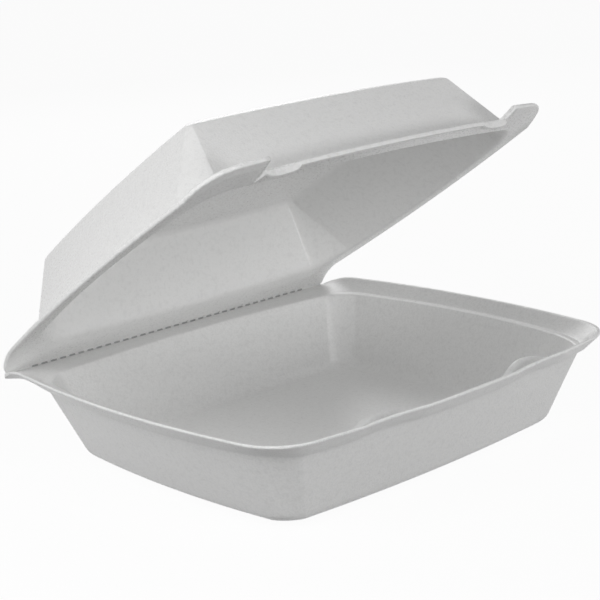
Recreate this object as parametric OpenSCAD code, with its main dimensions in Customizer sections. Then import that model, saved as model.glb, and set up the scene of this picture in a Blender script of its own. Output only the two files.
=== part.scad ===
// Foam clamshell container: a tray and a domed lid moulded from one foam sheet and folded
// along a perforated line at the back. Shown half open.
// Frame: +X right along the fold, +Y back towards the fold, +Z up, origin at the middle of
// the tray's underside. Units are millimetres.

/* [Sheet] */
// foam thickness
sheet = 2.3; // [1.8:0.1:2.8]
// gap kept between the closed lid and the tray
fit_gap = 0.5; // [0.4:0.1:0.8]
// gap across the fold line
fold_gap = 0.3; // [0.3:0.05:0.5]

/* [Tray] */
// width of the tray's underside
floor_w = 182; // [160:1:200]
// depth of the tray's underside
floor_d = 153; // [135:1:170]
// height of the ledge at the top of the tray walls
ledge_z = 39; // [32:0.5:46]
// how far each tray wall leans out from floor to ledge
tray_lean = 16.5; // [10:0.5:20]
// width of the narrow ledge under the flared rim
ledge_w = 3; // [2:0.25:4]
// outward reach of the flared rim above the ledge
flare_w = 6; // [4:0.25:8]
// rise of the flared rim above the ledge
flare_h = 6.6; // [5:0.2:8]
// inside fillet between floor and walls
floor_r = 6; // [3:0.5:8]

/* [Lid] */
// angle of the lid above its closed place
lid_open = 31.5; // [0:0.5:150]
// height of the lid above the fold
lid_h = 43.7; // [38:0.5:50]
// how far the lid's side walls lean in from flange to top
lid_lean = 25.3; // [18:0.1:30]
// how much steeper the lid's back wall stands
back_steep = 8; // [0:0.5:12]
// width of the lid's flat side flange
flange_w = 5.5; // [4:0.25:7]
// extra width of the lid flange along the front
front_flange = 8.5; // [6:0.5:12]
// depth of the closed lid flange below the tray rim
nest = 1.4; // [0.8:0.1:2]
// inside fillet along the lid's top edge
top_r = 5; // [3:0.5:7]

/* [Plan shape] */
// outward bow of every side at the rims
bow_rim = 6; // [3:0.5:9]
// outward bow of the sides at floor and lid top
bow_end = 3.5; // [1:0.5:6]
// leg of the rounded corner at both rims
corner_rim = 22; // [16:1:28]
// leg of the corner facet at the top of the tray walls
corner_wall = 16; // [9:0.5:17]
// leg of the corner facet at the foot of the lid walls
corner_lid = 18; // [12:0.5:20]
// leg of the corner facet at the tray floor
corner_floor = 8; // [5:0.5:12]
// leg of the corner facet at the lid top
corner_top = 2.5; // [2:0.5:6]

/* [Fold] */
// width of the strip between tray ledge and fold
fold_strip = 9.5; // [7:0.5:14]
// leg of the tray's back corners along the sides
tray_back = 22; // [16:1:28]
// leg of the lid's back corners along the sides
lid_back = 15; // [12:1:22]
// cut of the back corners along the fold
fold_cut = 6; // [3:0.5:10]
// half length of the perforated row
perf_half = 95; // [80:1:100]
// spacing of the perforation slits
perf_pitch = 5.5; // [4.5:0.25:8]
// length of one slit
perf_len = 3.4; // [2:0.2:4]
// width of one slit across the fold
perf_w = 1.6; // [1:0.1:2.4]

/* [Front closure] */
// distance of each slit from the middle of the lid front
slit_x = 75; // [66:0.5:80]
// width of the slits beside the lift tabs
slit_w = 1.2; // [0.9:0.1:2]
// reach of the corner lift tabs beyond the lid wall
tab_reach = 9.5; // [8:0.5:12]
// rise of the lift tabs at their edge
tab_rise = 2.4; // [2.2:0.2:5]
// length of the skirt below the lid flange
skirt_drop = 0.5; // [0.2:0.1:0.8]
// extra length of the two locking lobes
lobe_drop = 1.9; // [1:0.1:2]
// length of each locking lobe along the skirt
lobe_len = 18; // [14:1:26]
// distance of each catch from the middle of the tray front
catch_x = 53; // [46:1:58]
// length of each catch along the tray front
catch_len = 34; // [24:1:40]
// inward reach of each catch from the tray rim
catch_reach = 14; // [12:0.25:15]

/* [Hidden] */
corner_n = 7;                          // segments across one corner
side_n = 6;                            // segments along a plain side
round_n = 4;                           // segments in the floor and top fillets
front_in = (floor_w - floor_d)/2;      // half width minus half depth, the same at every height
floor_a = floor_w/2;
wall_a = floor_a + tray_lean;          // half width at the top of the tray wall
ledge_a = wall_a + ledge_w;            // half width at the foot of the flare
rim_a = ledge_a + flare_w;             // half width of the tray rim
rim_z = ledge_z + flare_h;
rim_half = rim_a - bow_rim - corner_rim;   // half length of the rims between their corners
fold_y = ledge_a - front_in + fold_strip;
fold_z = ledge_z + fold_gap/2;
fold_end = fold_y - fold_gap/2;        // edge of both strips at the fold
fold_half = rim_a - bow_rim - fold_cut;   // half length of the fold
flare_in = ledge_a - sheet*0.35;       // half width at the foot of the flare's inside
flare_run = (rim_a - sheet*0.7 - flare_in)/(flare_h - 0.7);   // outward run per mm of rise
lid_a = flare_in + (flare_h - nest - 0.5)*flare_run - fit_gap*1.5;   // half width of the lid flange
lid_foot = lid_a - flange_w;           // half width of the lid wall at the flange
lid_top_a = lid_foot - lid_lean;
flange_u = rim_z - nest - fold_z;      // underside of the lid flange above the fold
strip_u = fold_gap/2;                  // underside of the lid strip above the fold
tray_slope = atan(tray_lean/ledge_z);
lid_slope = atan(lid_lean/(lid_h - flange_u - sheet));
perf_n = floor((2*perf_half - perf_len)/perf_pitch);

function mix(p, q, w) = p + (q - p)*w;
function ease(t) = t*t*(3 - 2*t);
function unit(v) = v/norm(v);

// cubic curve from p to q, leaving along u and arriving along v
function turn(p, u, q, v, full, t) =
    let (r1 = p + u*full*abs(q[0] - p[0]), r2 = q - v*full*abs(q[1] - p[1]), s = 1 - t)
    p*s*s*s + r1*3*s*s*t + r2*3*s*t*t + q*t*t*t;

// one station is [side, t]: 0 front, 1 right front corner, 2 right, 3 right back corner, 4 back,
// then mirrored back corner, left side and front corner; t runs from -1 to 1 or from 0 to 1
function side_steps(n) = [for (i = [0:n]) -1 + 2*i/n];
function corner_steps(n) = [for (i = [1:n - 1]) (1 - cos(180*i/n))/2];
function stations(front) = concat(
    [for (t = front) [0, t]],
    [for (k = [1:7]) for (t = k % 2 == 1 ? corner_steps(corner_n) : side_steps(side_n)) [k, t]]);

// one ring is [half width, front depth, back depth, side bow, front bow, back bow, front half length,
// back half length, front leg, back leg, corner fullness, side height, front height, back height]
function y_front(g) = -(g[1] - g[4] - g[8]);
function y_back(g) = g[2] - g[5] - g[9];

function front_corner(g, t) = turn([g[6], g[4] - g[1]], unit([g[6], 2*g[4]]),
    [g[0] - g[3], y_front(g)], unit([4*g[3], y_back(g) - y_front(g)]), g[10], t);

function back_corner(g, t) = turn([g[7], g[2] - g[5]], unit([g[7], -2*g[5]]),
    [g[0] - g[3], y_back(g)], unit([4*g[3], y_front(g) - y_back(g)]), g[10], 1 - t);

function right_half(g, k, t) =
    k == 1 ? concat(front_corner(g, t), mix(g[12], g[11], t*t*t)) :
    k == 2 ? [g[0] - g[3]*t*t, mix(y_front(g), y_back(g), (t + 1)/2), g[11]] :
    concat(back_corner(g, t), mix(g[11], g[13], ease(t)));

function mirrored(p) = [-p[0], p[1], p[2]];

function place(g, s) =
    s[0] == 0 ? [s[1]*g[6], g[4]*s[1]*s[1] - g[1], g[12]] :
    s[0] == 4 ? [-s[1]*g[7], g[2] - g[5]*s[1]*s[1], g[13]] :
    s[0] < 4 ? right_half(g, s[0], s[1]) :
    mirrored(right_half(g, 8 - s[0], s[0] == 6 ? -s[1] : 1 - s[1]));

// closed shell through a list of rings, from the outside cap to the inside cap
module loft(rings, flip) {
    n = len(rings[0]);
    m = len(rings);
    skin = [for (k = [0:m - 2]) for (j = [0:n - 1]) for (h = [0, 1])
        let (i = (j + 1) % n, p = k*n + j, q = k*n + i, r = p + n, s = q + n)
        h == 0 ? (flip ? [p, q, s] : [p, s, q]) : (flip ? [p, s, r] : [p, r, s])];
    first = [for (j = [0:n - 1]) flip ? n - 1 - j : j];
    last = [for (j = [0:n - 1]) (m - 1)*n + (flip ? j : n - 1 - j)];
    polyhedron(points = [for (g = rings) for (p = g) p], faces = concat([first], skin, [last]));
}

// ring along the walls at half width a, with its back moved by shift
function wall_ring(a, z, leg, bow, full, shift) = let (b = a - front_in, h = a - bow - leg)
    [a, b, b + shift, bow, bow, bow, h, h, leg, leg, full, z, z, z];

// half widths and heights along a fillet between a level face at z and a leaning wall
function fillet(a, z, r, lean, way) = [for (i = [0:round_n])
    let (w = (90 - lean)*i/round_n)
    [a - r*tan((90 - lean)/2) + r*sin(w), z + way*r*(1 - cos(w))]];

// slits of the perforated fold at height z
module perforation(z) {
    for (i = [0:perf_n - 1])
        translate([(i - (perf_n - 1)/2)*perf_pitch - perf_len/2, fold_y - perf_w/2, z - sheet*2])
            cube([perf_len, perf_w, sheet*4]);
}

// tray: floor, leaning walls, ledge, flared rim, and two crescent catches behind the front rim

catch_half = catch_len/2;
catch_n = 12;
tray_front = concat([-1],
    [for (i = [0:catch_n]) (catch_len*i/catch_n - catch_x - catch_half)/rim_half],
    [for (i = [-1:1]) i*(catch_x - catch_half)*0.45/rim_half],
    [for (i = [0:catch_n]) (catch_len*i/catch_n + catch_x - catch_half)/rim_half],
    [1]);
tray_stations = stations(tray_front);

// share of a catch at the distance x from the middle of the front
function catch_at(x) = max(0, 1 - pow((abs(x) - catch_x)/catch_half, 2));

// tray ring above the walls: place on the sides, place on the back strip, then the move inwards
// and upwards that the same line makes over a catch
function tray_ring(a, z, back, leg, full, move) =
    let (b = a - front_in, fold = back[0] > fold_y - 3, turn_back = fold ? tray_back : leg*0.6,
         g = [a, b, back[0], bow_rim, bow_rim, fold ? 0 : bow_rim, rim_half,
              fold ? fold_half : a - bow_rim - turn_back, leg, turn_back, full, z, z, back[1]])
    [for (s = tray_stations)
        let (p = place(g, s), w = s[0] == 0 ? catch_at(p[0]) : 0)
        [p[0], p[1] + move[0]*w, p[2] + move[1]*w]];

module tray_shell() {
    t = sheet;
    up = ledge_z;
    back = ledge_a - front_in;
    wall_b = wall_a - front_in;
    low = fillet(floor_a, 0, floor_r + t, tray_slope, 1);
    inner = fillet(floor_a - t*tan(45 - tray_slope/2), t, floor_r, tray_slope, 1);
    outside = [for (p = low) [for (s = tray_stations)
        place(wall_ring(p[0], p[1], corner_floor, bow_end, 0.42, 0), s)]];
    inside = [for (i = [round_n:-1:0]) [for (s = tray_stations)
        place(wall_ring(inner[i][0], inner[i][1], corner_floor, bow_end, 0.42, 0), s)]];
    crest = ledge_a - t*0.75 - (rim_a - catch_reach);   // catch inwards of the ledge
    top = flare_h - nest - 0.8;                         // catch top above the ledge
    rim = [
        tray_ring(wall_a, up - t*1.1, [wall_b, up - t*1.1], corner_wall, 0.3, [0, 0]),
        tray_ring(ledge_a - 0.4, up - t*0.75, [back, up - t], corner_wall + 3, 0.4, [1, t*0.4]),
        tray_ring(ledge_a + 0.6, up - t*0.35, [back + 1, up - t], corner_wall + 4, 0.45, [0.8, t*0.4]),
        tray_ring(rim_a - 0.3, rim_z - t, [fold_end - 0.2, up - t], corner_rim, 0.55, [1.3, 0]),
        tray_ring(rim_a, rim_z - t + 0.4, [fold_end, up - t + 0.2], corner_rim, 0.55, [1.3, 0]),
        tray_ring(rim_a, rim_z - 0.4, [fold_end, up - 0.2], corner_rim, 0.55, [1.3, 0]),
        tray_ring(rim_a - 0.6, rim_z, [fold_end - 0.2, up], corner_rim, 0.55, [1.3, 0]),
        tray_ring(rim_a - t*0.7, rim_z - 0.2, [fold_end - 1.5, up], corner_rim, 0.55, [1.2, 0]),
        tray_ring(ledge_a - t*0.35, up + 0.5, [back - 0.6, up], corner_wall + 4, 0.45, [0.5, 0.7]),
        tray_ring(ledge_a - t*0.6, up + 0.1, [back - 1, up], corner_wall + 3, 0.4, [1.6, 0.9]),
        tray_ring(ledge_a - t*0.75, up, [back - 1.4, up], corner_wall + 3, 0.4, [1.9, top - 0.2]),
        tray_ring(ledge_a - t*0.9, up, [back - 1.8, up], corner_wall + 2, 0.4, [crest - 0.9, top]),
        tray_ring(wall_a - t*0.75, up, [wall_b - t*0.75, up], corner_wall, 0.3, [crest - 3, top - 1]),
        tray_ring(wall_a - t*1.1, up - 1, [wall_b - t*1.1, up - 1], corner_wall, 0.3, [1, 0])];
    loft(concat(outside, rim, inside), false);
}

module tray() {
    color("whitesmoke")
        difference() {
            tray_shell();
            perforation(fold_z);
        }
}

// lid, drawn closed with its heights measured from the fold: domed top, leaning walls, flat side
// flange, lift tabs at the front corners and a skirt with two locking lobes between the slits

slit_step = 0.3;
lobe_n = 8;
lobe_mid = slit_x - slit_w/2 - lobe_len/2;
lid_side = concat(
    [for (i = [0:lobe_n]) lobe_mid + lobe_len*(i/lobe_n - 0.5)*0.96],
    [slit_x - slit_step, slit_x + slit_step, (rim_half + slit_x)/2, rim_half]);
lid_count = len(lid_side);
lid_front = concat([for (i = [lid_count - 1:-1:0]) -lid_side[i]/rim_half],
    [for (i = [-1:1]) i*(lobe_mid - lobe_len/2)*0.5/rim_half],
    [for (x = lid_side) x/rim_half]);
lid_stations = stations(lid_front);

// share of a locking lobe at the distance x from the middle
function lobe_at(x) = let (d = abs(abs(x) - lobe_mid)/(lobe_len/2)) d < 1 ? 1 - pow(d, 4) : 0;

// lid ring below the walls: [half width, height] on the sides, [depth, height] of the lift tab, of
// the skirt with its share of the lobe, and of the back strip
function lid_ring(side, tab, skirt, back, leg, full) =
    let (fold = back[0] > fold_y - 3,
         g = [side[0], tab[0], back[0], bow_rim, bow_rim, fold ? 0 : bow_rim, rim_half,
              fold ? fold_half : lid_foot - bow_rim - corner_lid, leg, fold ? lid_back : leg, full,
              side[1], tab[1], back[1]])
    [for (s = lid_stations)
        let (p = place(g, s), w = s[0] == 0 && abs(p[0]) < slit_x ? 1 : 0, b = w*skirt[2]*lobe_at(p[0]))
        [p[0], p[1] + (tab[0] - skirt[0])*w + 0.1*b, p[2] + (skirt[1] - tab[1])*w - lobe_drop*b]];

module lid_shell() {
    t = sheet;
    u = flange_u;
    v = strip_u;
    d = lid_foot - front_in;              // depth of the lid's back wall at the flange
    f = d - front_flange;                 // depth of the lid's front wall at the flange
    e = d + tab_reach;                    // depth of the lift tab's edge
    low = u - skirt_drop;                 // lower edge of the skirt
    sd = d + 2.6;                         // depth of the skirt's outer edge
    half = mix(d, fold_end, 0.5);         // middle of the back strip
    high = fillet(lid_top_a, lid_h, top_r + t, lid_slope, -1);
    inner = fillet(lid_top_a - t*tan(45 - lid_slope/2), lid_h - t, top_r, lid_slope, -1);
    outside = [for (p = high) [for (s = lid_stations)
        place(wall_ring(p[0], p[1], corner_top, bow_end, 0.25, back_steep), s)]];
    inside = [for (i = [round_n:-1:0]) [for (s = lid_stations)
        place(wall_ring(inner[i][0], inner[i][1], corner_top, bow_end, 0.25, back_steep), s)]];
    rim = [
        lid_ring([lid_foot - 0.5, u + t + 1], [f - 0.5, u + t + 1], [f - 0.5, u + t + 1, 0],
            [d - 0.3, u + t + 1], corner_lid, 0.25),
        lid_ring([lid_foot + 0.6, u + t], [f + 1, u + t], [f + 1, u + t, 0],
            [d + 0.8, u + t - 0.3], corner_lid, 0.27),
        lid_ring([lid_foot + 3, u + t], [mix(f, e, 0.72), u + t + 1.1], [sd - t - 0.6, u + t - 0.2, 0],
            [half, mix(u, v, 0.55) + t], corner_lid + 2, 0.45),
        lid_ring([lid_a - 0.6, u + t], [e - 0.7, u + t + tab_rise], [sd - 0.2, u + t*0.6, 0.3],
            [fold_end - 0.2, v + t], corner_rim, 0.55),
        lid_ring([lid_a, u + t - 0.6], [e, u + t - 0.6 + tab_rise], [sd, low + 0.3, 0.9],
            [fold_end, v + t - 0.2], corner_rim, 0.55),
        lid_ring([lid_a, u + 0.6], [e + 0.4, u + 0.6 + tab_rise], [sd - 0.3, low, 1],
            [fold_end, v + 0.2], corner_rim, 0.55),
        lid_ring([lid_a - 0.6, u], [e, u + tab_rise], [sd - t + 0.3, low, 1],
            [fold_end - 0.2, v], corner_rim, 0.55),
        lid_ring([lid_foot + 3, u], [mix(f, e, 0.75), u + 1.3], [sd - t, u, 0.25],
            [half - 0.8, mix(u, v, 0.5)], corner_lid + 2, 0.45),
        lid_ring([lid_foot - 0.4, u], [f - 0.4, u], [f - 0.4, u, 0],
            [d - 0.4, u - 0.3], corner_lid, 0.27),
        lid_ring([lid_foot - t*0.95, u + 1], [f - t*0.95, u + 1], [f - t*0.95, u + 1, 0],
            [d - t*0.95, u + 1], corner_lid, 0.25)];
    loft(concat(outside, rim, inside), true);
}

module front_slits() {
    reach = rim_a - front_in - bow_rim - sheet*2;
    for (way = [-1, 1])
        translate([way*slit_x - slit_w/2, -rim_a, flange_u - sheet*3])
            cube([slit_w, rim_a - reach + front_flange, sheet*5.2]);
}

module lid() {
    color("white")
        translate([0, fold_y, fold_z])
            rotate([-lid_open, 0, 0])
                translate([0, -fold_y, 0])
                    difference() {
                        lid_shell();
                        perforation(0);
                        front_slits();
                    }
}

tray();
lid();
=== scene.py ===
"""Foam clamshell container: foam shells, perforated fold and plain studio, in the CAD frame."""
from __future__ import annotations

import logging
import math
from dataclasses import dataclass, field
from enum import IntEnum

import bpy
from mathutils import Matrix, Vector

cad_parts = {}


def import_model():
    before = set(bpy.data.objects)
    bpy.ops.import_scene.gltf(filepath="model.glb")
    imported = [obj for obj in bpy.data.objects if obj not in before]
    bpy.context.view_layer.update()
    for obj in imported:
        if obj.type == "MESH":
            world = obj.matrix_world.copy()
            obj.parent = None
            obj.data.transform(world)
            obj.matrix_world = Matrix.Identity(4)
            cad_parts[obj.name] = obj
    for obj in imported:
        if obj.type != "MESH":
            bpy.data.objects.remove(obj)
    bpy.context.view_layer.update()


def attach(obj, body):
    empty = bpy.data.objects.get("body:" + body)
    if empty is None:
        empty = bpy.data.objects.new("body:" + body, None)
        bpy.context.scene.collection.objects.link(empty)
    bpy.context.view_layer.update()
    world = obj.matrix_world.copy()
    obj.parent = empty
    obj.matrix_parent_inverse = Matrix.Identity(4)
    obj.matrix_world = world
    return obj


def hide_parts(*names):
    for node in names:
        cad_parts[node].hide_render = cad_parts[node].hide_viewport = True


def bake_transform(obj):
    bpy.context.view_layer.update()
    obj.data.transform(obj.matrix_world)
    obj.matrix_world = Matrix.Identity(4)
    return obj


LOG = logging.getLogger("container")
MM = 0.001

Pair = tuple[float, float]
Point = tuple[float, float, float]
# Points with their share of cut edge, from 0 for skin to 1 for bare foam.
Line = list[tuple[Point, float]]


class Side(IntEnum):
    """Stretches of a ring, in the order in which it is walked, seen from above."""

    FRONT = 0
    FRONT_RIGHT = 1
    RIGHT = 2
    BACK_RIGHT = 3
    BACK = 4
    BACK_LEFT = 5
    LEFT = 6
    FRONT_LEFT = 7


@dataclass(frozen=True)
class Station:
    """One place on a ring: t runs from -1 to 1 along a side and from 0 to 1 round a corner."""

    side: Side
    t: float


def mix(p: float, q: float, w: float) -> float:
    """Value between p and q at the share w."""
    return p + (q - p) * w


def ease(t: float) -> float:
    """Smooth step from 0 to 1."""
    return t * t * (3 - 2 * t)


def spread(low: float, high: float, count: int) -> list[float]:
    """Evenly spaced values from low to high, both included."""
    return [low + (high - low) * i / count for i in range(count + 1)]


def merged(values: list[float], extra: list[float], clear: float) -> list[float]:
    """Sorted list of the extra values and of those plain ones that keep clear of them.

    Args:
        values: plain values.
        extra: values that have to be there.
        clear: least distance of a plain value from an extra one.

    Returns:
        The merged values in rising order.
    """
    kept = [v for v in values if all(abs(v - e) > clear for e in extra)]
    return sorted(kept + extra)


def unit(x: float, y: float) -> Pair:
    """Direction of the vector (x, y)."""
    size = math.hypot(x, y)
    return x / size, y / size


def add_mesh(name: str, verts: list[Point], faces: list[tuple[int, ...]], slots: list[int],
             smooth: bool) -> bpy.types.Object:
    """Adds a mesh object to the scene.

    Args:
        name: name of the object and of its mesh.
        verts: points in metres.
        faces: numbers of the points of each face.
        slots: material slot of each face.
        smooth: True for smooth shading.

    Returns:
        The object.
    """
    mesh = bpy.data.meshes.new(name)
    mesh.from_pydata(verts, [], faces)
    for face, slot in zip(mesh.polygons, slots):
        face.use_smooth = smooth
        face.material_index = slot
    mesh.update()
    made = bpy.data.objects.new(name, mesh)
    bpy.context.scene.collection.objects.link(made)
    return made


def remap(tree: bpy.types.NodeTree, value: bpy.types.NodeSocket, taken: Pair = (0.0, 1.0),
          given: Pair = (0.0, 1.0)) -> bpy.types.NodeSocket:
    """Adds a node that maps one range of values to another.

    Args:
        tree: node tree that takes the node.
        value: socket with the value.
        taken: ends of the range that comes in.
        given: values that the node gives at those ends.

    Returns:
        The socket with the new value.
    """
    node = tree.nodes.new("ShaderNodeMapRange")
    for label, number in zip(("From Min", "From Max", "To Min", "To Max"), taken + given):
        node.inputs[label].default_value = number
    tree.links.new(value, node.inputs["Value"])
    return node.outputs["Result"]


def worked(tree: bpy.types.NodeTree, operation: str, first: bpy.types.NodeSocket,
           second: bpy.types.NodeSocket | float) -> bpy.types.NodeSocket:
    """Adds a node that works out one value from two.

    Args:
        tree: node tree that takes the node.
        operation: Blender's name of the operation.
        first: socket with the first value.
        second: socket with the second value, or a plain number.

    Returns:
        The socket with the result.
    """
    node = tree.nodes.new("ShaderNodeMath")
    node.operation = operation
    tree.links.new(first, node.inputs[0])
    if isinstance(second, float):
        node.inputs[1].default_value = second
    else:
        tree.links.new(second, node.inputs[1])
    return node.outputs["Value"]


def toned(tree: bpy.types.NodeTree, share: bpy.types.NodeSocket,
          first: bpy.types.NodeSocket | Point, second: Point) -> bpy.types.NodeSocket:
    """Adds a node that goes from one colour to another.

    Args:
        tree: node tree that takes the node.
        share: socket with the share of the second colour.
        first: socket with the first colour, or a plain colour.
        second: second colour.

    Returns:
        The socket with the colour.
    """
    node = tree.nodes.new("ShaderNodeMix")
    node.data_type = "RGBA"
    tree.links.new(share, node.inputs["Factor"])
    if isinstance(first, tuple):
        node.inputs["A"].default_value = (*first, 1.0)
    else:
        tree.links.new(first, node.inputs["A"])
    node.inputs["B"].default_value = (*second, 1.0)
    return node.outputs["Result"]


@dataclass(frozen=True)
class Sizes:
    """Named sizes of the container in millimetres, and its angle in degrees.

    They are those of the solids, apart from the tray's wall corners, catches and rim lip,
    which follow the photograph more closely here.
    """

    # Sheet and play
    sheet: float = 2.3
    fit_gap: float = 0.5
    fit_sides: float = 1.5
    fold_gap: float = 0.3
    # Tray
    floor_w: float = 182.0
    floor_d: float = 153.0
    ledge_z: float = 39.0
    tray_lean: float = 16.5
    ledge_w: float = 3.0
    flare_w: float = 6.0
    flare_h: float = 6.6
    floor_r: float = 6.0
    rim_pinch: float = 0.8
    # Inside of the tray's flare: two shares of the sheet, then heights
    foot_in: float = 0.35
    lip_in: float = 0.7
    foot_up: float = 0.5
    flare_lost: float = 0.7
    # Lid
    lid_open: float = 31.5
    lid_h: float = 43.7
    lid_lean: float = 25.3
    back_steep: float = 8.0
    flange_w: float = 5.5
    front_flange: float = 8.5
    nest: float = 1.4
    top_r: float = 5.0
    # Bows of the sides and legs of the corners
    bow_rim: float = 6.0
    bow_end: float = 3.5
    corner_rim: float = 22.0
    corner_wall: float = 21.0
    corner_lid: float = 18.0
    corner_floor: float = 11.0
    corner_top: float = 2.5
    # Fold and its row of slits
    fold_strip: float = 9.5
    tray_back: float = 22.0
    lid_back: float = 15.0
    fold_cut: float = 6.0
    perf_half: float = 95.0
    perf_pitch: float = 5.5
    perf_len: float = 3.4
    perf_w: float = 1.6
    # Lift tabs, skirt, lobes and catches along the front
    slit_x: float = 75.0
    slit_w: float = 1.2
    tab_reach: float = 9.5
    tab_rise: float = 2.4
    skirt_reach: float = 2.6
    skirt_drop: float = 0.5
    lobe_drop: float = 1.9
    lobe_len: float = 18.0
    lobe_in: float = 0.1
    catch_x: float = 46.5
    catch_len: float = 36.0
    catch_reach: float = 14.0
    catch_gap: float = 0.5

    @property
    def front_in(self) -> float:
        """Half width minus half depth, the same at every height."""
        return (self.floor_w - self.floor_d) / 2

    @property
    def wall_a(self) -> float:
        """Half width at the top of the tray wall."""
        return self.floor_w / 2 + self.tray_lean

    @property
    def ledge_a(self) -> float:
        """Half width at the foot of the flare."""
        return self.wall_a + self.ledge_w

    @property
    def rim_a(self) -> float:
        """Half width of the tray rim."""
        return self.ledge_a + self.flare_w

    @property
    def rim_z(self) -> float:
        """Height of the tray rim."""
        return self.ledge_z + self.flare_h

    @property
    def rim_half(self) -> float:
        """Half length of both rims between their front corners."""
        return self.rim_a - self.bow_rim - self.corner_rim

    @property
    def fold_y(self) -> float:
        """Place of the fold line."""
        return self.ledge_a - self.front_in + self.fold_strip

    @property
    def fold_z(self) -> float:
        """Height of the fold line."""
        return self.ledge_z + self.fold_gap / 2

    @property
    def fold_end(self) -> float:
        """Edge of both strips at the fold."""
        return self.fold_y - self.fold_gap / 2

    @property
    def fold_half(self) -> float:
        """Half length of the fold."""
        return self.rim_a - self.bow_rim - self.fold_cut

    @property
    def lid_a(self) -> float:
        """Half width of the lid flange, inside the tray's flare."""
        inside = self.ledge_a - self.sheet * self.foot_in
        lip = self.rim_a - self.sheet * self.lip_in
        run = (lip - inside) / (self.flare_h - self.flare_lost)
        rise = self.flare_h - self.nest - self.foot_up
        return inside + rise * run - self.fit_gap * self.fit_sides

    @property
    def lid_foot(self) -> float:
        """Half width of the lid wall at its flange."""
        return self.lid_a - self.flange_w

    @property
    def flange_u(self) -> float:
        """Underside of the lid flange above the fold."""
        return self.rim_z - self.nest - self.fold_z

    @property
    def slits(self) -> list[Pair]:
        """Start and end of every slit in the perforated row."""
        count = int((2 * self.perf_half - self.perf_len) // self.perf_pitch)
        mids = [(i - (count - 1) / 2) * self.perf_pitch for i in range(count)]
        return [(m - self.perf_len / 2, m + self.perf_len / 2) for m in mids]

    def opened(self, p: Point) -> Point:
        """Turns a point of the closed lid, with its height from the fold, to the open place."""
        a = math.radians(self.lid_open)
        d = self.fold_y - p[1]
        return (p[0], self.fold_y - d * math.cos(a) + p[2] * math.sin(a),
                self.fold_z + d * math.sin(a) + p[2] * math.cos(a))


@dataclass(frozen=True)
class Ring:
    """Closed line round a shell, made of bowed sides and curved corners."""

    half_width: float
    front: float
    back: float
    side_bow: float
    front_bow: float
    back_bow: float
    front_half: float
    back_half: float
    front_leg: float
    back_leg: float
    fullness: float
    side_z: float
    front_z: float
    back_z: float

    @property
    def y_front(self) -> float:
        """Front end of the straight part of the sides."""
        return -(self.front - self.front_bow - self.front_leg)

    @property
    def y_back(self) -> float:
        """Back end of the straight part of the sides."""
        return self.back - self.back_bow - self.back_leg

    def turn(self, start: Pair, away: Pair, along: float, t: float) -> Pair:
        """Cubic corner from an end of the front or back to the end of a side.

        Args:
            start: end of the front or back.
            away: direction in which the corner leaves it.
            along: change in y from this end of the side to its other end.
            t: share of the corner.

        Returns:
            The x and y of the point.
        """
        end = (self.half_width - self.side_bow, self.y_front if along > 0 else self.y_back)
        v = unit(4 * self.side_bow, along)
        reach_x = self.fullness * abs(end[0] - start[0])
        reach_y = self.fullness * abs(end[1] - start[1])
        s = 1 - t
        out = []
        for k in (0, 1):
            first = start[k] + away[k] * reach_x
            second = end[k] - v[k] * reach_y
            out.append(start[k] * s ** 3 + 3 * first * s * s * t + 3 * second * s * t * t
                       + end[k] * t ** 3)
        return out[0], out[1]

    def right(self, side: Side, t: float) -> Point:
        """Point on the right half of the ring."""
        y_front, y_back = self.y_front, self.y_back
        if side is Side.FRONT_RIGHT:
            start = (self.front_half, self.front_bow - self.front)
            away = unit(self.front_half, 2 * self.front_bow)
            x, y = self.turn(start, away, y_back - y_front, t)
            return x, y, mix(self.front_z, self.side_z, t ** 3)
        if side is Side.RIGHT:
            x = self.half_width - self.side_bow * t * t
            return x, mix(y_front, y_back, (t + 1) / 2), self.side_z
        start = (self.back_half, self.back - self.back_bow)
        away = unit(self.back_half, -2 * self.back_bow)
        x, y = self.turn(start, away, y_front - y_back, 1 - t)
        return x, y, mix(self.side_z, self.back_z, ease(t))

    def point(self, station: Station) -> Point:
        """Point of the ring at a station."""
        side, t = station.side, station.t
        if side is Side.FRONT:
            return t * self.front_half, self.front_bow * t * t - self.front, self.front_z
        if side is Side.BACK:
            return -t * self.back_half, self.back - self.back_bow * t * t, self.back_z
        if side < Side.BACK:
            return self.right(side, t)
        x, y, z = self.right(Side(len(Side) - side), -t if side is Side.LEFT else 1 - t)
        return -x, y, z


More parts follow.
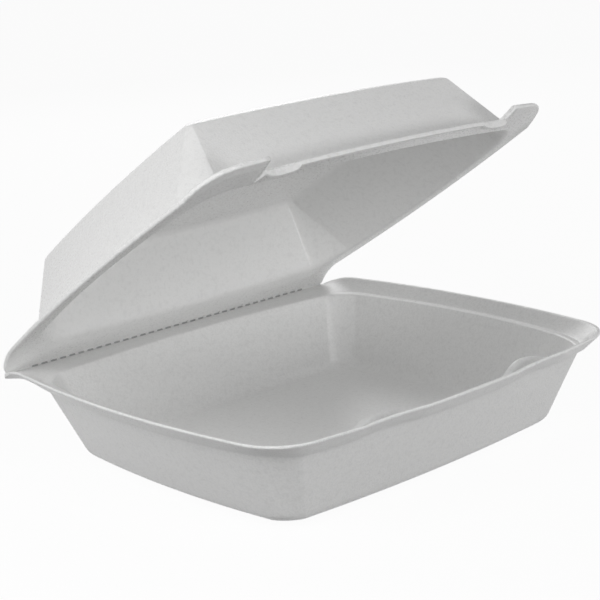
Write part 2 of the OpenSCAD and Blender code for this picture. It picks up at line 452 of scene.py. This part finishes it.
@dataclass
class Shell:
    """Thin foam shell lofted through rings, with rounded edges.

    The counts and small distances set how finely its mesh is divided, lengths in millimetres.
    """

    sizes: Sizes
    name: str = "shell"
    corner_count: int = 18
    side_count: int = 44
    front_count: int = 120
    back_count: int = 60
    fillet_count: int = 6
    front_clear: float = 0.012
    slit_clear: float = 0.35
    slit_wall: float = 0.06
    touch: float = 0.01
    fold_near: float = 3.0
    longest: float = 5.0
    rounds: int = 2
    cut_shares: Pair = (0.25, 0.75)
    edge_from: float = 0.62
    stations: list[Station] = field(default_factory=list)

    def walk(self, front: list[float], back: list[float]) -> list[Station]:
        """Stations all round the shell.

        Args:
            front: places along the front.
            back: places along the back.

        Returns:
            The stations in order.
        """
        count = self.corner_count
        turns = [(1 - math.cos(math.pi * i / count)) / 2 for i in range(1, count)]
        sides = spread(-1, 1, self.side_count)
        plan = {Side.FRONT: front, Side.BACK: back, Side.RIGHT: sides, Side.LEFT: sides}
        return [Station(side, t) for side in Side for t in plan.get(side, turns)]

    def front_places(self, extra: list[float]) -> list[float]:
        """Places along the front, with the extra ones among them."""
        return merged(spread(-1, 1, self.front_count), sorted(extra), self.front_clear)

    def fold_places(self) -> list[float]:
        """Places along the back, with a pair of them at each end of every slit in the fold."""
        half, wall = self.sizes.fold_half, self.slit_wall
        ends = [x for low, high in self.sizes.slits for x in (low - wall, low, high, high + wall)]
        return merged(spread(-1, 1, self.back_count), sorted(-x / half for x in ends),
                      self.slit_clear / half)

    def wall_line(self, a: float, z: float, corner: Pair, shift: float) -> Line:
        """Ring along the walls.

        Args:
            a: half width.
            z: height.
            corner: leg and fullness of the corners.
            shift: move of the back.

        Returns:
            The ring's points, all of them skin.
        """
        s = self.sizes
        leg, full = corner
        b, bow = a - s.front_in, s.bow_end
        half = a - bow - leg
        ring = Ring(half_width=a, front=b, back=b + shift, side_bow=bow, front_bow=bow,
                    back_bow=bow, front_half=half, back_half=half, front_leg=leg, back_leg=leg,
                    fullness=full, side_z=z, front_z=z, back_z=z)
        return [(ring.point(station), 0.0) for station in self.stations]

    def fillet(self, a: float, z: float, r: float, lean: float, way: float) -> list[Pair]:
        """Half widths and heights along a fillet between a level face and a leaning wall.

        Args:
            a: half width at which the face and the wall would meet.
            z: height of the level face.
            r: radius.
            lean: lean of the wall in radians.
            way: 1 for a wall that goes up from the face, -1 for one that goes down.

        Returns:
            The places from the face to the wall.
        """
        bend = math.pi / 2 - lean
        inset = r * math.tan(bend / 2)
        return [(a - inset + r * math.sin(w), z + way * r * (1 - math.cos(w)))
                for w in spread(0, bend, self.fillet_count)]

    def at_fold(self, y: float) -> bool:
        """Tells whether a ring whose back is at y ends at the fold."""
        return y > self.sizes.fold_y - self.fold_near

    def in_slit(self, x: float) -> bool:
        """Tells whether the place x along the fold lies in a slit of the perforated row."""
        return any(low - self.touch <= x <= high + self.touch for low, high in self.sizes.slits)

    def place(self, p: Point) -> Point:
        """Puts a point of the closed shell in its place at rest."""
        return p

    def build(self, rings: list[Line], flip: bool) -> bpy.types.Object:
        """Makes the closed mesh.

        Args:
            rings: points of every ring at the stations, with their share of cut edge.
            flip: True where the rings run from the top down.

        Returns:
            The mesh object, in metres.
        """
        columns = [list(line) for line in zip(*rings)]
        widest = [max(math.dist(a[k][0], a[k + 1][0]) for a in columns)
                  for k in range(len(rings) - 1)]
        steps = [max(1, math.ceil(d / self.longest)) for d in widest]
        lines = [self.even(line, steps, station)
                 for line, station in zip(columns, self.stations)]
        n, count = len(lines), len(lines[0])
        verts = [tuple(c * MM for c in self.place(lines[j][k][0]))
                 for k in range(count) for j in range(n)]
        share = [lines[j][k][1] for k in range(count) for j in range(n)]
        faces: list[tuple[int, ...]] = []
        for k in range(count - 1):
            for j in range(n):
                i = (j + 1) % n
                quad = (k * n + j, k * n + i, (k + 1) * n + i, (k + 1) * n + j)
                faces.append(quad[::-1] if flip else quad)
        first, last = tuple(range(n)), tuple(range((count - 1) * n, count * n))
        faces += [first, last[::-1]] if flip else [first[::-1], last]
        slots = [int(sum(share[v] for v in face) / len(face) > self.edge_from) for face in faces]
        LOG.info("%s: %d points, %d faces", self.name, len(verts), len(faces))
        return add_mesh(self.name, verts, faces, slots, True)

    def even(self, line: Line, steps: list[int], station: Station) -> Line:
        """Profile line with the same number of points at every station.

        Args:
            line: points of the profile with their share of cut edge.
            steps: number of equal parts of each stretch.
            station: place of the profile on the rings.

        Returns:
            The line after its corners are cut.
        """
        fine = [line[0]]
        for (p, e), (q, f), count in zip(line, line[1:], steps):
            fine += [(tuple(mix(p[k], q[k], i / count) for k in range(3)), mix(e, f, i / count))
                     for i in range(1, count + 1)]
        s = self.sizes
        end = max(fine, key=lambda item: item[0][1])[0]
        if station.side is Side.BACK and self.in_slit(end[0]):
            deep = s.fold_y - s.perf_w / 2
            fine = [((p[0], min(p[1], deep), p[2]), e) for p, e in fine]
        for _ in range(self.rounds):
            cut = [fine[0]]
            for (p, e), (q, f) in zip(fine, fine[1:]):
                for w in self.cut_shares:
                    cut.append((tuple(mix(p[k], q[k], w) for k in range(3)), mix(e, f, w)))
            fine = cut + [fine[-1]]
        return fine


@dataclass
class Tray(Shell):
    """Tray with bowed leaning walls, a ledge, a flared rim and two crescent catches."""

    name: str = "tray_shell"
    front_count: int = 110
    front_clear: float = 0.004
    back_share: float = 0.6
    floor_full: float = 0.42

    def catch_share(self, x: float) -> float:
        """Share of a catch at the distance x from the middle of the front."""
        s = self.sizes
        return max(0.0, 1 - ((abs(x) - s.catch_x) / (s.catch_len / 2)) ** 2)

    def rim_ring(self, a: float, z: float, back: Pair, corner: Pair, move: Pair,
                 edge: float = 0.0) -> Line:
        """Ring above the tray walls.

        Args:
            a: half width on the sides.
            z: height on the sides and the front.
            back: place and height on the back strip.
            corner: leg and fullness of the front corners.
            move: move inwards and upwards over a catch.
            edge: share of cut edge.

        Returns:
            The ring's points with their share of cut edge.
        """
        s = self.sizes
        leg, full = corner
        fold = self.at_fold(back[0])
        leg_back = s.tray_back if fold else leg * self.back_share
        half = s.fold_half if fold else a - s.bow_rim - leg_back
        ring = Ring(half_width=a, front=a - s.front_in, back=back[0], side_bow=s.bow_rim,
                    front_bow=s.bow_rim, back_bow=0 if fold else s.bow_rim,
                    front_half=s.rim_half, back_half=half, front_leg=leg, back_leg=leg_back,
                    fullness=full, side_z=z, front_z=z, back_z=back[1])
        out = []
        for station in self.stations:
            p = ring.point(station)
            if station.side is Side.FRONT:
                w = self.catch_share(p[0])
                p = (p[0], p[1] + move[0] * w, p[2] + move[1] * w)
            out.append((p, edge))
        return out

    def rim_rings(self) -> list[Line]:
        """Rings from the outer wall round the rim and over the ledge to the inner wall.

        The small numbers in the rows are offsets that round the section, in millimetres
        or as shares of the sheet.

        Returns:
            The rings in order.
        """
        s, ring = self.sizes, self.rim_ring
        t, up, fold = s.sheet, s.ledge_z, s.fold_end
        strip, wall_b = s.ledge_a - s.front_in, s.wall_a - s.front_in
        crest = s.ledge_a - t * 0.75 - (s.rim_a - s.catch_reach)
        top = s.flare_h - s.nest - s.catch_gap
        lip = s.rim_z - s.rim_pinch
        leg = s.corner_wall
        wall, inner, ledge = (leg, 0.3), (leg + 2, 0.4), (leg + 3, 0.4)
        foot, rim = (leg + 4, 0.45), (s.corner_rim, 0.55)
        still, pressed = (0, 0), (1.3, 0)
        return [
            ring(s.wall_a, up - t * 1.1, (wall_b, up - t * 1.1), wall, still),
            ring(s.ledge_a - 0.4, up - t * 0.75, (strip, up - t), ledge, (1, t * 0.4)),
            ring(s.ledge_a + 0.6, up - t * 0.35, (strip + 1, up - t), foot, (0.8, t * 0.4)),
            ring(s.rim_a - 0.3, s.rim_z - t, (fold - 0.2, up - t), rim, pressed, 0.5),
            ring(s.rim_a, s.rim_z - t + 0.4, (fold, up - t + 0.2), rim, pressed, 1),
            ring(s.rim_a, lip - 0.3, (fold, up - 0.2), rim, pressed, 1),
            ring(s.rim_a - 0.5, lip, (fold - 0.2, up), rim, pressed, 0.6),
            ring(s.rim_a - t * s.lip_in, lip - 0.2, (fold - 1.5, up), rim, (1.2, 0)),
            ring(s.ledge_a - t * s.foot_in, up + s.foot_up, (strip - 0.6, up), foot, (0.5, 0.7)),
            ring(s.ledge_a - t * 0.6, up + 0.1, (strip - 1, up), ledge, (1.6, 0.9)),
            ring(s.ledge_a - t * 0.75, up, (strip - 1.4, up), ledge, (1.9, top - 0.2)),
            ring(s.ledge_a - t * 0.9, up, (strip - 1.8, up), inner, (crest - 0.9, top)),
            ring(s.wall_a - t * 0.75, up, (wall_b - t * 0.75, up), wall, (crest - 3, top - 1)),
            ring(s.wall_a - t * 1.1, up - 1, (wall_b - t * 1.1, up - 1), wall, (1, 0))]

    def make(self) -> bpy.types.Object:
        """Builds the tray's mesh."""
        s = self.sizes
        ends = [way * (s.catch_x + e * s.catch_len / 2) / s.rim_half
                for way in (-1, 1) for e in (-1, 1)]
        self.stations = self.walk(self.front_places(ends), self.fold_places())
        slope = math.atan(s.tray_lean / s.ledge_z)
        inside = s.floor_w / 2 - s.sheet * math.tan(math.pi / 4 - slope / 2)
        low = self.fillet(s.floor_w / 2, 0, s.floor_r + s.sheet, slope, 1)
        high = self.fillet(inside, s.sheet, s.floor_r, slope, 1)
        corner = (s.corner_floor, self.floor_full)
        outer, inner = ([self.wall_line(a, z, corner, 0) for a, z in places]
                        for places in (low, reversed(high)))
        return self.build(outer + self.rim_rings() + inner, False)


@dataclass
class Lid(Shell):
    """Domed lid with a flat flange, lift tabs, and a skirt with two locking lobes."""

    name: str = "lid_shell"
    lobe_power: int = 4
    top_full: float = 0.25

    def place(self, p: Point) -> Point:
        """Turns a point of the closed lid to its half open place."""
        return self.sizes.opened(p)

    def lobe_share(self, x: float) -> float:
        """Share of a locking lobe at the distance x from the middle."""
        s = self.sizes
        d = abs(abs(x) - (s.slit_x - s.slit_w / 2 - s.lobe_len / 2)) / (s.lobe_len / 2)
        return 1 - d ** self.lobe_power if d < 1 else 0.0

    def rim_ring(self, side: Pair, tab: Pair, skirt: Point, back: Pair, corner: Pair,
                 level: float, edge: float = 0.0) -> Line:
        """Ring below the lid walls.

        Args:
            side: half width and height on the sides.
            tab: depth and height of the lift tabs.
            skirt: depth and height of the skirt, and its share of the lobes.
            back: place and height on the back strip.
            corner: leg and fullness of the front corners.
            level: height inside the slits beside the tabs.
            edge: share of cut edge.

        Returns:
            The ring's points with their share of cut edge.
        """
        s = self.sizes
        leg, full = corner
        fold = self.at_fold(back[0])
        half = s.fold_half if fold else s.lid_foot - s.bow_rim - s.corner_lid
        ring = Ring(half_width=side[0], front=tab[0], back=back[0], side_bow=s.bow_rim,
                    front_bow=s.bow_rim, back_bow=0 if fold else s.bow_rim,
                    front_half=s.rim_half, back_half=half, front_leg=leg,
                    back_leg=s.lid_back if fold else leg, fullness=full,
                    side_z=side[1], front_z=tab[1], back_z=back[1])
        slit_end = s.front_in + s.bow_rim + 2 * s.sheet - s.rim_a + s.front_flange
        out = []
        for station in self.stations:
            p = ring.point(station)
            if station.side is Side.FRONT:
                off = abs(p[0]) - s.slit_x
                if abs(off) <= s.slit_w / 2 + self.touch:
                    p = (p[0], max(p[1], slit_end), level if p[1] < slit_end else p[2])
                elif off < 0:
                    lobe = skirt[2] * self.lobe_share(p[0])
                    p = (p[0], p[1] + tab[0] - skirt[0] + s.lobe_in * lobe,
                         skirt[1] - s.lobe_drop * lobe)
            out.append((p, edge))
        return out

    def rim_rings(self) -> list[Line]:
        """Rings from the outer wall round the flange, tabs and skirt to the inner wall.

        The small numbers in the rows are offsets that round the section, in millimetres
        or as shares of the sheet.

        Returns:
            The rings in order.
        """
        s, ring = self.sizes, self.rim_ring
        t, foot, edge, rise = s.sheet, s.lid_foot, s.lid_a, s.tab_rise
        under, over, fold, seam = s.flange_u, s.flange_u + t, s.fold_end, s.fold_gap / 2
        wall_b = foot - s.front_in
        inset, tip = wall_b - s.front_flange, wall_b + s.tab_reach
        low, drop, mid = under - s.skirt_drop, wall_b + s.skirt_reach, mix(wall_b, fold, 0.5)
        leg = s.corner_lid
        wall, flange = (leg, self.top_full), (leg, 0.27)
        middle, rim = (leg + 2, 0.45), (s.corner_rim, 0.55)
        return [
            ring((foot - 0.5, over + 1), (inset - 0.5, over + 1), (inset - 0.5, over + 1, 0),
                 (wall_b - 0.3, over + 1), wall, over),
            ring((foot + 0.6, over), (inset + 1, over), (inset + 1, over, 0),
                 (wall_b + 0.8, over - 0.3), flange, over),
            ring((foot + 3, over), (mix(inset, tip, 0.72), over + 1.1),
                 (drop - t - 0.6, over - 0.2, 0), (mid, mix(under, seam, 0.55) + t), middle, over),
            ring((edge - 0.6, over), (tip - 0.7, over + rise), (drop - 0.2, under + t * 0.6, 0.3),
                 (fold - 0.2, seam + t), rim, over, 0.6),
            ring((edge, over - 0.6), (tip, over - 0.6 + rise), (drop, low + 0.3, 0.9),
                 (fold, seam + t - 0.2), rim, under + t * 0.7, 1),
            ring((edge, under + 0.6), (tip + 0.4, under + 0.6 + rise), (drop - 0.3, low, 1),
                 (fold, seam + 0.2), rim, under + t * 0.3, 1),
            ring((edge - 0.6, under), (tip, under + rise), (drop - t + 0.3, low, 1),
                 (fold - 0.2, seam), rim, under, 0.5),
            ring((foot + 3, under), (mix(inset, tip, 0.75), under + 1.3), (drop - t, under, 0.25),
                 (mid - 0.8, mix(under, seam, 0.5)), middle, under),
            ring((foot - 0.4, under), (inset - 0.4, under), (inset - 0.4, under, 0),
                 (wall_b - 0.4, under - 0.3), flange, under),
            ring((foot - t * 0.95, under + 1), (inset - t * 0.95, under + 1),
                 (inset - t * 0.95, under + 1, 0), (wall_b - t * 0.95, under + 1), wall, under)]

    def make(self) -> bpy.types.Object:
        """Builds the lid's mesh in its half open place."""
        s = self.sizes
        half, wall = s.slit_w / 2, self.slit_wall
        ends = [way * (s.slit_x + e) / s.rim_half
                for way in (-1, 1) for e in (-half - wall, -half, half, half + wall)]
        lobes = [way * (s.slit_x - half - s.lobe_len) / s.rim_half for way in (-1, 1)]
        self.stations = self.walk(self.front_places(ends + lobes), self.fold_places())
        top_a = s.lid_foot - s.lid_lean
        slope = math.atan(s.lid_lean / (s.lid_h - s.flange_u - s.sheet))
        inside = top_a - s.sheet * math.tan(math.pi / 4 - slope / 2)
        high = self.fillet(top_a, s.lid_h, s.top_r + s.sheet, slope, -1)
        low = self.fillet(inside, s.lid_h - s.sheet, s.top_r, slope, -1)
        corner = (s.corner_top, self.top_full)
        outer, inner = ([self.wall_line(a, z, corner, s.back_steep) for a, z in places]
                        for places in (high, reversed(low)))
        return self.build(outer + self.rim_rings() + inner, True)


@dataclass
class FoldWeb:
    """Thin foam web that closes the back of the fold and shows as the bottom of its slits, where
    it is painted dark as the shade inside the slits.

    Both sections are given in millimetres from the fold line, y and z, the outer side first.
    """

    sizes: Sizes
    name: str = "fold_web"
    outer_count: int = 6
    end_in: float = 0.6
    step_out: float = 0.1
    step_in: float = 0.02
    bridge: tuple[Pair, ...] = (
        (-0.13, -2.35), (0.3, -2.0), (0.72, -1.0), (0.95, 0.3), (1.02, 1.4), (1.02, 2.05),
        (0.25, 0.75), (-0.08, 0.18), (-0.14, -0.3))
    slit: tuple[Pair, ...] = (
        (-0.76, -2.35), (0.1, -2.15), (0.66, -1.0), (0.9, 0.3), (0.9, 1.5), (0.56, 2.4),
        (0.3, 1.6), (0.15, 0.1), (-0.6, -1.6))

    def marks(self) -> list[tuple[float, bool]]:
        """Places along the fold, each with True where a slit is open."""
        end = self.sizes.fold_half - self.end_in
        marks = [(-end, False)]
        for low, high in self.sizes.slits:
            marks += [(low - self.step_out, False), (low + self.step_in, True),
                      (high - self.step_in, True), (high + self.step_out, False)]
        return marks + [(end, False)]

    def make(self) -> bpy.types.Object:
        """Builds the web's mesh, with a full section between the slits and a thin one behind."""
        s = self.sizes
        marks = self.marks()
        n, last = len(self.bridge), len(marks) - 1
        verts = [(x * MM, (s.fold_y + y) * MM, (s.fold_z + z) * MM)
                 for x, is_open in marks for y, z in (self.slit if is_open else self.bridge)]
        faces: list[tuple[int, ...]] = []
        slit_shade_slots: list[int] = []
        for k in range(last):
            for j in range(n):
                i = (j + 1) % n
                faces.append((k * n + j, (k + 1) * n + j, (k + 1) * n + i, k * n + i))
                is_open = marks[k][1] or marks[k + 1][1]
                # Faces at the bottom of the open slits take the dark finish: painted shade of the
                # slits.
                slit_shade_slots.append(int(is_open and j >= self.outer_count - 1))
        faces += [tuple(range(n)), tuple(range(last * n + n - 1, last * n - 1, -1))]
        slit_shade_slots += [0, 0]
        LOG.info("%s: %d slits", self.name, len(s.slits))
        return add_mesh(self.name, verts, faces, slit_shade_slots, False)


@dataclass(frozen=True)
class FoamCells:
    """Shared node group: closed cells, pits and cloudy mottling of pressed foam sheet."""

    name: str = "foam_cells"
    cell_smooth: float = 0.6
    cell_range: Pair = (0.1, 0.75)
    cloud_detail: float = 5.0
    cloud_rough: float = 0.62
    cloud_range: Pair = (0.32, 0.68)
    pit_scale: float = 420.0
    pit_detail: float = 3.0
    pit_range: Pair = (0.5, 0.72)

    def group(self) -> bpy.types.NodeTree:
        """Builds the node group once and gives it back afterwards.

        Returns:
            The node tree, with the outputs Height, Mottle and Pits.
        """
        tree = bpy.data.node_groups.get(self.name)
        if tree:
            return tree
        tree = bpy.data.node_groups.new(self.name, "ShaderNodeTree")
        for label, default in (("Cells", 900.0), ("Clouds", 60.0), ("Pit Share", 0.3)):
            socket = tree.interface.new_socket(label, in_out="INPUT",
                                               socket_type="NodeSocketFloat")
            socket.default_value = default
        for label in ("Height", "Mottle", "Pits"):
            tree.interface.new_socket(label, in_out="OUTPUT", socket_type="NodeSocketFloat")
        nodes, links = tree.nodes, tree.links
        into, out = nodes.new("NodeGroupInput"), nodes.new("NodeGroupOutput")
        place = nodes.new("ShaderNodeTexCoord")
        cells = nodes.new("ShaderNodeTexVoronoi")
        cells.feature = "SMOOTH_F1"
        cells.inputs["Smoothness"].default_value = self.cell_smooth
        clouds = nodes.new("ShaderNodeTexNoise")
        clouds.inputs["Detail"].default_value = self.cloud_detail
        clouds.inputs["Roughness"].default_value = self.cloud_rough
        fine = nodes.new("ShaderNodeTexNoise")
        fine.inputs["Scale"].default_value = self.pit_scale
        fine.inputs["Detail"].default_value = self.pit_detail
        for node in (cells, clouds, fine):
            links.new(place.outputs["Object"], node.inputs["Vector"])
        links.new(into.outputs["Cells"], cells.inputs["Scale"])
        links.new(into.outputs["Clouds"], clouds.inputs["Scale"])
        swell = remap(tree, cells.outputs["Distance"], self.cell_range, (1.0, 0.0))
        pits = remap(tree, fine.outputs["Fac"], self.pit_range)
        deep = worked(tree, "MULTIPLY", pits, into.outputs["Pit Share"])
        links.new(worked(tree, "SUBTRACT", swell, deep), out.inputs["Height"])
        links.new(remap(tree, clouds.outputs["Fac"], self.cloud_range), out.inputs["Mottle"])
        links.new(deep, out.inputs["Pits"])
        return tree


@dataclass(frozen=True)
class FoamFinish:
    """Finish of one foam surface."""

    name: str
    light: Point
    dark: Point
    smooth: float
    rough: float
    cells: float
    clouds: float
    pit_share: float
    relief: float
    specular: float = 0.4
    # Share of the dark skin tone in the pits: painted shade in the small dips.
    pit_shade_tone: float = 0.86
    cell_height: float = 0.0004

    def material(self) -> bpy.types.Material:
        """Builds the material from the shared foam cells.

        Returns:
            The material.
        """
        made = bpy.data.materials.new(self.name)
        made.use_nodes = True
        made.diffuse_color = (*self.light, 1.0)
        tree = made.node_tree
        nodes, links = tree.nodes, tree.links
        shader = nodes["Principled BSDF"]
        shader.inputs["Specular IOR Level"].default_value = self.specular
        foam = nodes.new("ShaderNodeGroup")
        foam.node_tree = FoamCells().group()
        foam.inputs["Cells"].default_value = self.cells
        foam.inputs["Clouds"].default_value = self.clouds
        foam.inputs["Pit Share"].default_value = self.pit_share
        mottle, pits = foam.outputs["Mottle"], foam.outputs["Pits"]
        skin = toned(tree, mottle, self.dark, self.light)
        # The pits, which the bump also sinks, take a tone darker than the dark skin: painted shade
        # in the dips.
        pit_shaded = toned(tree, pits, skin, tuple(c * self.pit_shade_tone for c in self.dark))
        bump = nodes.new("ShaderNodeBump")
        bump.inputs["Strength"].default_value = self.relief
        bump.inputs["Distance"].default_value = self.cell_height
        links.new(pit_shaded, shader.inputs["Base Color"])
        links.new(remap(tree, mottle, given=(self.rough, self.smooth)),
                  shader.inputs["Roughness"])
        links.new(foam.outputs["Height"], bump.inputs["Height"])
        links.new(bump.outputs["Normal"], shader.inputs["Normal"])
        return made


TRAY_SKIN = FoamFinish(
    name="tray_foam_skin", light=(0.88, 0.88, 0.875), dark=(0.79, 0.79, 0.785), smooth=0.26,
    rough=0.36, cells=1300.0, clouds=1000.0, pit_share=0.3, relief=0.12)
LID_SKIN = FoamFinish(
    name="lid_foam_skin", light=(0.88, 0.88, 0.875), dark=(0.79, 0.79, 0.785), smooth=0.24,
    rough=0.34, cells=1300.0, clouds=950.0, pit_share=0.3, relief=0.12)
CUT_EDGE = FoamFinish(
    name="cut_foam_edge", light=(0.93, 0.93, 0.925), dark=(0.87, 0.87, 0.865), smooth=0.5,
    rough=0.65, cells=1400.0, clouds=1000.0, pit_share=0.5, relief=0.4, specular=0.35)
# Dark tone for the bottoms of the fold's slits: painted shade of the narrow slits, not a colour of
# the foam.
SLIT_SHADE = FoamFinish(
    name="painted_slit_shade", light=(0.5, 0.5, 0.5), dark=(0.42, 0.42, 0.42), smooth=0.6,
    rough=0.75, cells=1600.0, clouds=900.0, pit_share=0.5, relief=0.4, specular=0.3)


@dataclass(frozen=True)
class Lamp:
    """Soft rectangular lamp, in metres and watts."""

    name: str
    place: Point
    aim: Point
    width: float
    height: float
    watts: float

    def make(self) -> None:
        """Adds the lamp to the scene."""
        data = bpy.data.lights.new(self.name, "AREA")
        data.shape = "RECTANGLE"
        data.size, data.size_y = self.width, self.height
        data.energy = self.watts
        lamp = bpy.data.objects.new(self.name, data)
        lamp.location = self.place
        way = Vector(self.aim) - Vector(self.place)
        lamp.rotation_euler = way.to_track_quat("-Z", "Y").to_euler()
        bpy.context.scene.collection.objects.link(lamp)


@dataclass(frozen=True)
class Studio:
    """Pale floor, white surround, soft lamps and the camera, in metres and degrees.

    The floor and the surround are white to the camera and in reflections. To other rays the
    floor has its dark tone and the surround its ambient strength.
    """

    focal: float = 96.19
    sensor: float = 36.0
    clip: Pair = (0.05, 60.0)
    azimuth: float = -41.967
    elevation: float = 14.426
    roll: float = -3.594
    distance: float = 0.763149
    target: Point = (0.002149, 0.010196, 0.066312)
    ambient: float = 0.16
    floor_reach: float = 12.0
    floor_drop: float = 0.0004
    floor_dark: Point = (0.22, 0.22, 0.22)
    floor_pale: Point = (0.95, 0.95, 0.95)
    floor_glow: float = 0.95
    floor_rough: float = 0.9
    floor_specular: float = 0.1
    lamps: tuple[Lamp, ...] = (
        Lamp("key_left", place=(-0.55, 0.05, 0.42), aim=(-0.08, 0.02, 0.1),
             width=0.3, height=0.3, watts=1.6),
        Lamp("front_high", place=(-0.1, -1.05, 0.75), aim=(0.0, 0.0, 0.05),
             width=0.5, height=0.5, watts=3.0),
        Lamp("front_low", place=(0.15, -1.25, 0.14), aim=(0.0, 0.0, 0.08),
             width=0.7, height=0.3, watts=5.0),
        Lamp("left_side", place=(-0.62, -0.08, 0.1), aim=(0.0, 0.0, 0.06),
             width=0.2, height=0.1, watts=0.6),
        Lamp("back_right", place=(0.7, 1.0, 0.7), aim=(0.0, 0.05, 0.08),
             width=0.6, height=0.6, watts=3.0))

    def camera(self) -> None:
        """Places the camera at the photograph's angle."""
        a, e, r = (math.radians(v) for v in (self.azimuth, self.elevation, self.roll))
        back = Vector((math.sin(a) * math.cos(e), -math.cos(a) * math.cos(e), math.sin(e)))
        level = Vector((math.cos(a), math.sin(a), 0.0))
        upright = level.cross(-back)
        right = level * math.cos(r) + upright * math.sin(r)
        up = upright * math.cos(r) - level * math.sin(r)
        data = bpy.data.cameras.new("camera")
        data.sensor_width, data.lens = self.sensor, self.focal
        data.clip_start, data.clip_end = self.clip
        camera = bpy.data.objects.new("camera", data)
        place = Matrix.Translation(Vector(self.target) + back * self.distance)
        camera.matrix_world = place @ Matrix((right, up, back)).transposed().to_4x4()
        bpy.context.scene.collection.objects.link(camera)
        bpy.context.scene.camera = camera

    def seen(self, tree: bpy.types.NodeTree) -> bpy.types.NodeSocket:
        """Adds nodes that give 1 for rays from the camera, reflections and clear material.

        Args:
            tree: node tree of the floor's material or of the world.

        Returns:
            The socket with that value.
        """
        rays = tree.nodes.new("ShaderNodeLightPath").outputs
        value = rays["Is Camera Ray"]
        for label in ("Is Glossy Ray", "Is Transmission Ray"):
            value = worked(tree, "MAXIMUM", value, rays[label])
        return value

    def world(self) -> None:
        """White surround for the camera and for reflections, soft even light for the rest."""
        world = bpy.data.worlds.new("surround")
        world.use_nodes = True
        tree = world.node_tree
        sky = tree.nodes["Background"]
        sky.inputs["Color"].default_value = (1.0, 1.0, 1.0, 1.0)
        level = remap(tree, self.seen(tree), given=(self.ambient, 1.0))
        tree.links.new(level, sky.inputs["Strength"])
        bpy.context.scene.world = world

    def floor(self) -> None:
        """Pale floor that keeps a soft shadow and is white to the camera."""
        r = self.floor_reach
        corners = [(-r, -r, 0), (r, -r, 0), (r, r, 0), (-r, r, 0)]
        floor = add_mesh("floor", corners, [(0, 1, 2, 3)], [0], False)
        floor.location.z = -self.floor_drop
        made = bpy.data.materials.new("pale_floor")
        made.use_nodes = True
        tree = made.node_tree
        nodes, links = tree.nodes, tree.links
        shader, out = nodes["Principled BSDF"], nodes["Material Output"]
        shader.inputs["Roughness"].default_value = self.floor_rough
        shader.inputs["Specular IOR Level"].default_value = self.floor_specular
        glow = nodes.new("ShaderNodeEmission")
        seen = self.seen(tree)
        tone = toned(tree, seen, self.floor_dark, self.floor_pale)
        blend = nodes.new("ShaderNodeMixShader")
        links.new(tone, shader.inputs["Base Color"])
        links.new(worked(tree, "MULTIPLY", seen, self.floor_glow), blend.inputs["Fac"])
        links.new(shader.outputs["BSDF"], blend.inputs[1])
        links.new(glow.outputs["Emission"], blend.inputs[2])
        links.new(blend.outputs["Shader"], out.inputs["Surface"])
        floor.data.materials.append(made)

    def make(self) -> None:
        """Builds the whole studio."""
        self.camera()
        self.world()
        self.floor()
        for lamp in self.lamps:
            lamp.make()
        bpy.context.scene.view_settings.view_transform = "Standard"
        LOG.info("studio: %d lamps", len(self.lamps))


@dataclass
class Container:
    """The whole container: both shells and the fold's web, dressed, with the shells joined to
    their bodies.
    """

    sizes: Sizes = field(default_factory=Sizes)

    def dress(self, piece: bpy.types.Object, finishes: tuple[FoamFinish, ...]) -> None:
        """Gives a piece its finishes, one for each material slot."""
        for finish in finishes:
            made = bpy.data.materials.get(finish.name) or finish.material()
            piece.data.materials.append(made)

    def make(self) -> None:
        """Builds, dresses and places every piece."""
        s = self.sizes
        tray = Tray(s).make()
        self.dress(tray, (TRAY_SKIN, CUT_EDGE))
        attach(tray, "tray")
        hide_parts("tray")
        lid = Lid(s).make()
        self.dress(lid, (LID_SKIN, CUT_EDGE))
        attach(lid, "lid")
        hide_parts("lid")
        web = FoldWeb(s).make()
        # The web's second finish is the painted shade at the bottom of its slits.
        self.dress(web, (TRAY_SKIN, SLIT_SHADE))
        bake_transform(web)


def main() -> None:
    """Builds the container and its studio."""
    logging.basicConfig(level=logging.INFO, format="%(name)s: %(message)s")
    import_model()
    Studio().make()
    Container().make()
    bpy.context.view_layer.update()


if __name__ == "__main__":
    main()
